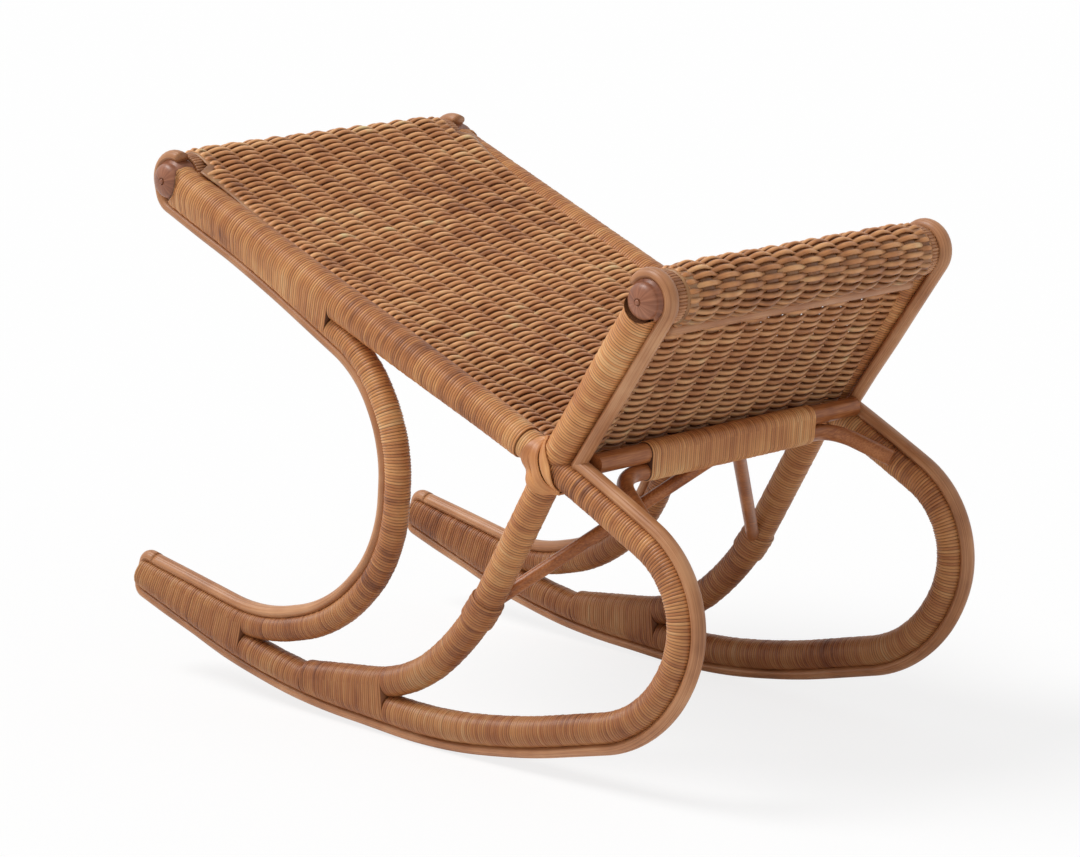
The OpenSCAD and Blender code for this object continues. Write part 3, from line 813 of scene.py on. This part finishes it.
# %% [markdown]
# ## The lines of the woven panels
# Each panel runs from the vee up between its rails, bends a little and rolls over its cross
# rail. Seen from the side it is one more route, so the strands can be set out along it by
# length, flat or rolled alike.

# %% Routes of the two panels
row_r, leg_pitch, foot_pitch = 0.004, 0.0074, 0.0076
leg_lift, foot_lift = 0.010, 0.0075
ring_r = knob_r + row_r
collar_w = 0.012
roll_half = frame_y - edging_r - collar_w - 2 * seat
panel_half = frame_y - pole_r


def rolled_panel(first, bend, hub, side_of, sweep):
    """From a first row over a slight bend to the hub, and round it by the sweep."""
    spoke = bend - hub
    touch = math.atan2(spoke[1], spoke[0]) + side_of * math.acos(ring_r / norm(spoke))
    meets = hub + ring_r * toward(touch)
    roll = ("arc", hub, ring_r, touch, math.radians(sweep))
    return bent_route([first, bend, meets], [0, 0.8, 0]) + [roll]


rail_l = norm(rear_top - vee)
leg_first = vee + leg_lift * rail_n - 2.8 * 2 * row_r * rail_u
leg_bend = rear_top + leg_lift * rail_n - 0.22 * rail_l * rail_u
leg_path = rolled_panel(leg_first, leg_bend, rear_top, 1, 280)
foot_first = vee + 1.6 * foot_lift * post_n + 2.75 * 2 * row_r * post_u
foot_bend = foot_top + foot_lift * post_n - 0.165 * post_l * post_u
foot_path = rolled_panel(foot_first, foot_bend, foot_top, -1, -297)
print("leg panel %.3f m, footboard %.3f m" % (route_length(leg_path), route_length(foot_path)))

# %% [markdown]
# ## Strands over and under
# The panels are a plain weave of round cane over hidden stakes. Each strand passes over one
# stake and under the next, and its neighbour does the opposite, so the parts that show stand
# like bricks. A pattern in a bump map would look flat from the side and at the rolls, so each
# strand is a real rod that swings in and out as a cosine does. The flat stakes hardly show,
# but they close the weave and keep its gaps dark, and the outermost follow its border.

# %% Weave the strands
stake_gap, strand_w, strand_h, bow_n = 0.0275, 0.0025, 0.0016, 0.0032
rings_a_stake, tuck_in = 7.5, 0.003


def edge_of_row(p, hub, axis_u):
    """A row ends inside the rail's winding, and over the rail it runs on to the collar."""
    if norm(p - hub) < knob_r + 3.2 * row_r:
        return roll_half
    height = abs((p - vee) @ right_of(axis_u))
    inside = frame_y - math.sqrt(max(0.0, (rail_r + row_r) ** 2 - height ** 2))
    return max(panel_half, inside) + tuck_in


def woven_rows(path, row_pitch, hub, axis_u):
    shells = []
    g = circle(8)
    for k in range(int(route_length(path) / row_pitch * 2) + 1):
        p, u = (v[0] for v in walk(path, k * row_pitch / 2))
        half = edge_of_row(p, hub, axis_u)
        y = np.linspace(-half, half, int(half * 2 / stake_gap * rings_a_stake) + 1)
        wave = np.cos(math.pi * (y / stake_gap + k))
        tucked = np.clip((half - np.abs(y)) / 0.007, 0, 1) ** 0.5
        swing = np.sign(wave) * np.abs(wave) ** 0.9
        bow = bow_n * swing * tucked * (1 + drift(len(y), 0.1, 9))
        slack = drift(len(y), 0.00014, 9)
        flatter = np.abs(wave) ** 0.7 * (1 + rng.uniform(-0.15, 0.1))
        across = slack[:, None] + (strand_w + 0.0002 * flatter)[:, None] * np.cos(g)
        out = bow[:, None] + (strand_h + 0.0003 * flatter)[:, None] * np.sin(g)
        flat = p + across[..., None] * u + out[..., None] * right_of(u)
        rings = raised(flat, y[:, None])
        shells.append(placed(rings, np.arange(9) / 9 + k, y / stake_gap + 15 * k))
    return shells


print("a stake every %.1f mm" % (stake_gap * 1e3))

# %% Set the stakes and finish the panels
stake_w, stake_t, border_in, stake_number = 0.0084, 0.0019, 0.0055, 300.0


def stakes(path, hub, axis_u, step=0.009):
    shells = []
    s = np.arange(0, route_length(path), step)
    points, u = walk(path, s)
    g = circle(10)
    flat = points[:, None, :] + stake_t * np.cos(g)[None, :, None] * right_of(u)[:, None, :]
    border = np.array([edge_of_row(p, hub, axis_u) for p in points]) - border_in
    for i in range(-6, 7):
        middle_y = np.sign(i) * border if abs(i) == 6 else np.full(len(s), i * stake_gap)
        rings = raised(flat, middle_y[:, None] + stake_w * np.sin(g))
        shells.append(placed(rings, stake_number + i, s / stake_gap))
    return shells


def panel(node, path, row_pitch, hub, axis_u):
    shells = woven_rows(path, row_pitch, hub, axis_u) + stakes(path, hub, axis_u)
    piece = skin("dressed_" + node, shells, weave_finish)
    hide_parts(node)
    print(node, len(piece.data.polygons), "faces")


panel("leg_weave", leg_path, leg_pitch, rear_top, rail_u)
panel("foot_weave", foot_path, foot_pitch, foot_top, post_u)

# %% [markdown]
# ## Collars
# On the open side of each roll's end, short strands laid side by side fill the ring between
# the edging and the weave. One wide ring with lines on it would do from afar; single strands
# with a slight bow, each a touch higher or lower, catch the light as the real ones do.

# %% Collars of short strands round the rolls
short_gap, short_w, short_h = 0.0031, 0.0017, 0.0021


def short_strands(centre, begin, sweep):
    """Strands along Y, side by side over this sweep of degrees round a cross rail."""
    shells = []
    g = circle(10)
    count = round(math.radians(sweep) * ring_r / short_gap)
    y = -roll_half - np.array([-0.4, -0.1, 0.25, 0.5, 0.75, 1.0]) * (collar_w + seat)
    arch = np.array([-0.0016, -0.0006, 0.0, 0.0003, 0.0, -0.0006])
    for k in range(count):
        turn = math.radians(begin + sweep * (k + 0.5) / count)
        out, way = toward(turn), -right_of(toward(turn))
        bow = arch + rng.uniform(-0.0002, 0.0002)
        high = knob_r + 0.0022 + bow[:, None] + short_h * np.sin(g)
        flat = centre + high[..., None] * out + (short_w * np.cos(g))[:, None] * way
        shells.append(placed(raised(flat, y[:, None]), np.arange(11) * 0.001 + k * 0.37, y + k))
    return shells


both_sides("collars", short_strands(rear_top, -16, 250) + short_strands(foot_top, -64, 232),
           straw)

# %% [markdown]
# ## Polished knobs
# The cross rails end in low domes, turned smooth and darkened by hands. A nail through each
# dome holds it to the frame, and its head shows as a small raised spot. Rail, domes and nail
# heads are one turned outline, as on a lathe, so nothing has to be joined.

# %% Turn the top cross rails with their domes and nails
dome_r, dome_h, knob_y, step_y = 0.0164, 0.0075, frame_y + 0.0115, 0.0045
nail_steps = ((0.0, 0.0026), (0.0007, 0.0023), (0.001, 0.001))


def round_rod(centre, outline, columns=32):
    """A turned rod along Y; outline holds pairs of y and radius."""
    y, r = (np.array(v) for v in zip(*outline))
    flat = centre + r[:, None, None] * toward(circle(columns))
    return placed(raised(flat, y[:, None]), np.arange(columns + 1) / columns * 0.12, y)


def dome(hand):
    g = np.linspace(0, math.pi / 2, 12)[:-1]
    tip = [(hand * (knob_y + dome_h * math.sin(a)), dome_r * math.cos(a)) for a in g]
    return tip + [(hand * (knob_y + dome_h * 0.985 + h), r) for h, r in nail_steps]


umber_stops = [(0.22, (0.090, 0.024, 0.011)), (0.5, (0.276, 0.094, 0.042)),
               (0.8, (0.504, 0.209, 0.110))]
umber = along_grain("polished_knob", umber_stops, 260.0, 60.0, 0.3)
shaft = [(-knob_y + 0.004, dome_r), (step_y - knob_y, cross_r),
         (knob_y - step_y, cross_r), (knob_y - 0.004, dome_r)]
for node, centre in (("rear_cross_rail", rear_top), ("foot_cross_rail", foot_top)):
    rail = skin("dressed_" + node, [round_rod(centre, dome(-1)[::-1] + shaft + dome(1))], umber)
    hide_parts(node)
    print(node, len(rail.data.polygons), "faces")

# %% [markdown]
# ## The strip under the foot roll
# A split cane covers the end of the weave where the roll meets the footboard's back. It could
# be a true half rod; a round one half hidden by the weave looks the same, and its thickness
# wanders a little, as real cane's does.

# %% Cover the end of the weave
last_row = int(route_length(foot_path) / foot_pitch) * foot_pitch
bead_r, bead_way, bead_shift = 0.0035, toward(math.radians(205)), [0.0035, -0.0025]
bead = walk(foot_path, last_row)[0][0] + (row_r + seat + bead_r) * bead_way + bead_shift
strip_outline = [(y, 0.0058 + 0.0002 * math.sin(40 * y))
                 for y in np.linspace(-roll_half, roll_half, 60)]
strip = skin("dressed_foot_roll_bead", [round_rod(bead, strip_outline, 14)], straw)
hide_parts("foot_roll_bead")
print("strip %.3f m long" % (2 * roll_half))

# %% [markdown]
# ## Bindings under the footboard
# The bare rail under the footboard is bound to its bow brace over more than half its length,
# and each strut is tied to its middle leg. The rail's binding has the outline round two
# circles again, but both stay level, so two half circles a turn are enough.

# %% Bind the rail to its brace, and the struts to the legs
vee_rail_r, bow_r, band_half = 0.009, 0.0075, frame_y * 0.6
vee_rail = leg_first + (row_r + 0.0029 + vee_rail_r) * toward(math.radians(14))
bow = vee_rail - [0, vee_rail_r + seat + bow_r]
s, deep, turn = turn_rings(band_half * 2)
half_turn = toward(np.linspace(0, math.pi, 15))
big, small = (r + seat + wrap_t - deep[:, None, None] for r in (vee_rail_r, bow_r))
flat = np.concatenate([vee_rail + big * half_turn, bow - small * half_turn], 1)
rings = raised(flat, (s - band_half)[:, None])
binding = skin("dressed_vee_band", [placed(rings, np.arange(31) * 0.0035, turn)], honey)
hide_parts("vee_band")
tie_s, tie_half = middle_l * 0.41, 0.0125
wrapped("strut_tie", wound_pole(middle, tie_s - tie_half, tie_s + tie_half, pole_r + seat + wrap_t))

# %% [markdown]
# ## Lashing the vee
# Where the post stands on the long pole, flat cane passes from the crotch above the joint to
# the crotch below it. Each pass lies a little further along the rail, so the passes fan out
# into crescents at the front, and they are pulled narrow in the crotches. Cloth or shrinkwrap
# could press a band onto the poles; here its depth comes straight from their round sections,
# smoothed where it leaves one for the other. A superellipse gives the flat, soft section.

# %% The middle line of a lashing
crotch_up, drum_r, least_depth = 0.0245, pole_r + 0.0022, 0.004
strap_w, strap_t = 0.0108, 0.0024


def smoothed(line):
    for _ in range(5):
        line = (np.roll(line, 1, 0) + 2 * line + np.roll(line, -1, 0)) / 4
    return line


def lashing_line(aside, drop):
    """Points round the joint, which way the band faces there, and how far it has fanned."""
    spine = unit(rail_u + post_u)
    left = right_of(spine) * math.copysign(1, right_of(spine) @ rail_u)
    top, bottom = vee + crotch_up * spine, vee - drop * spine
    a = np.linspace(0, 2 * math.pi, 97)[:-1]
    fan = np.abs(np.sin(a)) ** 1.2
    flat = ((top + bottom) / 2 + spine * (np.cos(a) * norm(top - bottom) / 2)[:, None]
            + left * (aside * fan)[:, None])
    offs = np.stack([(flat - vee) @ rail_n, (flat - vee) @ post_n])
    nearer = np.abs(offs).argmin(0)
    off = np.where(nearer == 0, offs[0], offs[1])
    ways = np.array([rail_n, post_n])[nearer]
    depth = np.sqrt(np.maximum(least_depth ** 2, drum_r ** 2 - off ** 2)) * np.sign(np.sin(a))
    line, facing = raised(flat, -frame_y - depth), raised(ways * off[:, None], -depth)
    return smoothed(line), smoothed(facing), fan


print("a lashing starts %.1f mm above the joint" % (crotch_up * 1e3))

# %% Lash the crossing
def lashing(aside, drop):
    """A flat band round the joint: its middle lies this far aside, towards the rail."""
    line, facing, fan = lashing_line(aside, drop)
    along = np.roll(line, -1, 0) - np.roll(line, 1, 0)
    along /= norm(along, axis=1, keepdims=True)
    facing = facing - along * (facing * along).sum(1, keepdims=True)
    facing /= norm(facing, axis=1, keepdims=True)
    across = np.cross(along, facing)
    t = circle(18)
    flat_x, flat_y = (np.sign(v) * np.abs(v) ** 0.6 / 2 for v in (np.cos(t), np.sin(t)))
    narrow = (0.5 + 0.5 * fan)[:, None, None]
    rings = line[:, None, :] + across[:, None, :] * (flat_x * strap_w)[None, :, None] * narrow
    rings = rings + facing[:, None, :] * (flat_y * strap_t)[None, :, None]
    rings = np.concatenate([rings, rings[:1]])
    return placed(rings, np.arange(19) * 0.0012 + abs(aside) * 9, np.arange(len(rings)) * 0.0012)


both_sides("vee_straps", [lashing(-0.005, 0.026), lashing(0.0078, 0.025), lashing(0.0195, 0.024)],
           honey_strap)

# %% [markdown]
# ## The pieces that keep their CAD shape
# The bare rods already have their true shape in the CAD model, so they only need a finish.
# They carry no places around and along, so their streaks are read from the room: fine across
# the stool's plane and long along Y, the way most of them run.

# %% Finish for plain rods
def rod_finish(name, stops, across, along):
    f = Finish(name, 0.4, 0.15)
    x, y, z = f.split(f.room())
    streak = f.noise(f.join(f.times(x, across), f.times(y, along), f.times(z, across)), 1.0, 3.0)
    stain = f.noise(f.room(), 25.0, 3.0)
    mixed = f.times(streak, 0.6, f.times(stain, 0.6, -0.1))
    rough = f.times(streak, 0.2, 0.3)
    return f.done(f.ramp(mixed, stops), rough, streak, 0.3, 0.0004)


caramel_stops = [(0.25, (0.144, 0.038, 0.010)), (0.5, (0.350, 0.112, 0.031)),
                 (0.78, (0.562, 0.224, 0.076))]
rod_plain = rod_finish("plain_rod", caramel_stops, 700.0, 40.0)
plain_nodes = ("vee_cross_rail", "bow_brace", "right_strut", "left_strut",
               "right_foot_post", "left_foot_post")
for name in plain_nodes:
    nodes[name].data.materials.clear()
    nodes[name].data.materials.append(rod_plain)
print("finished", len(plain_nodes), "CAD nodes")

# %% [markdown]
# ## A white sheet to stand on
# The stool stands on a white sheet, as in a catalogue picture. A sheet that only reflects
# would render grey beside the white world, and a sheet that only glows would lose the shadow.
# So it does both, and glows for the camera alone, to keep its light off the stool.

# %% Floor
sheet_glow, sheet_half = 0.8, 6.0


def plain_floor():
    mesh = bpy.data.meshes.new("studio_floor")
    corners = [(x * sheet_half, y * sheet_half, 0) for x, y in ((-1, -1), (1, -1), (1, 1), (-1, 1))]
    mesh.from_pydata(corners, [], [(0, 1, 2, 3)])
    floor = in_scene("studio_floor", mesh)
    sheet = Finish("white_sheet", 0.9, 0.0)
    sheet.shader.inputs["Base Color"].default_value = (0.97, 0.97, 0.97, 1)
    sheet.shader.inputs["Specular IOR Level"].default_value = 0.1
    glow = sheet.node("ShaderNodeEmission", (1, 1, 1, 1))
    seen = sheet.node("ShaderNodeLightPath").outputs["Is Camera Ray"]
    mix = sheet.node("ShaderNodeMixShader", sheet.times(seen, sheet_glow),
                     sheet.shader.outputs[0], glow.outputs[0])
    sheet.wire(mix.outputs[0], sheet.tree.nodes["Material Output"], "Surface")
    mesh.materials.append(sheet.material)


plain_floor()
print("sheet %.0f m wide" % (2 * sheet_half))

# %% [markdown]
# ## Light
# A broad, soft lamp stands high on the left and behind the camera, and a pale world fills the
# shadows. The world is white only where the camera or a reflection looks past the sheet. An
# area lamp would fade over the sheet; a sun with a wide angle lights it evenly.

# %% World and lamp
def studio_world(ambient):
    world = bpy.data.worlds.new("studio")
    bpy.context.scene.world = world
    world.use_nodes = True
    world.node_tree.nodes.clear()
    studio = Wiring(world.node_tree)
    path = studio.node("ShaderNodeLightPath").outputs
    either = studio.sum("MAXIMUM", path["Is Camera Ray"], path["Is Glossy Ray"])
    both = studio.sum("MAXIMUM", either, path["Is Transmission Ray"])
    seen = studio.node("ShaderNodeBackground", (1, 1, 1, 1), 1.0)
    light = studio.node("ShaderNodeBackground", (1, 1, 1, 1), ambient)
    mix = studio.node("ShaderNodeMixShader", both, light.outputs[0], seen.outputs[0])
    studio.node("ShaderNodeOutputWorld", mix.outputs[0])


def soft_sun(name, towards, angle, strength):
    """A lamp so far away that the whole sheet is lit alike; towards points back to it."""
    data = bpy.data.lights.new(name, "SUN")
    data.angle = math.radians(angle)
    data.energy = strength
    lamp = in_scene(name, data)
    lamp.rotation_euler = Vector(towards).to_track_quat("Z", "Y").to_euler()


studio_world(0.43)
soft_sun("high_sun", (-0.75, -0.75, 1.55), 28, 2.15)
print("studio ready")

# %% [markdown]
# ## The camera
# The photograph was taken from the front right with a long lens, a little above the stool.
# Such a camera could be set by eye, but its place and lens come from matching the frame's
# corners, knobs and floor contacts.

# %% Camera
data = bpy.data.cameras.new("camera")
data.sensor_fit = "HORIZONTAL"
data.sensor_width = 36
data.lens = 138.94
data.clip_end = 50
camera = in_scene("camera", data)
camera.location = (2.65686, -2.76414, 1.06439)
camera.rotation_euler = (math.radians(90 - 11.796), 0, math.radians(43.893))
bpy.context.scene.camera = camera
bpy.context.scene.view_settings.view_transform = "Standard"
print("camera", tuple(round(v, 3) for v in camera.location))

# %% [markdown]
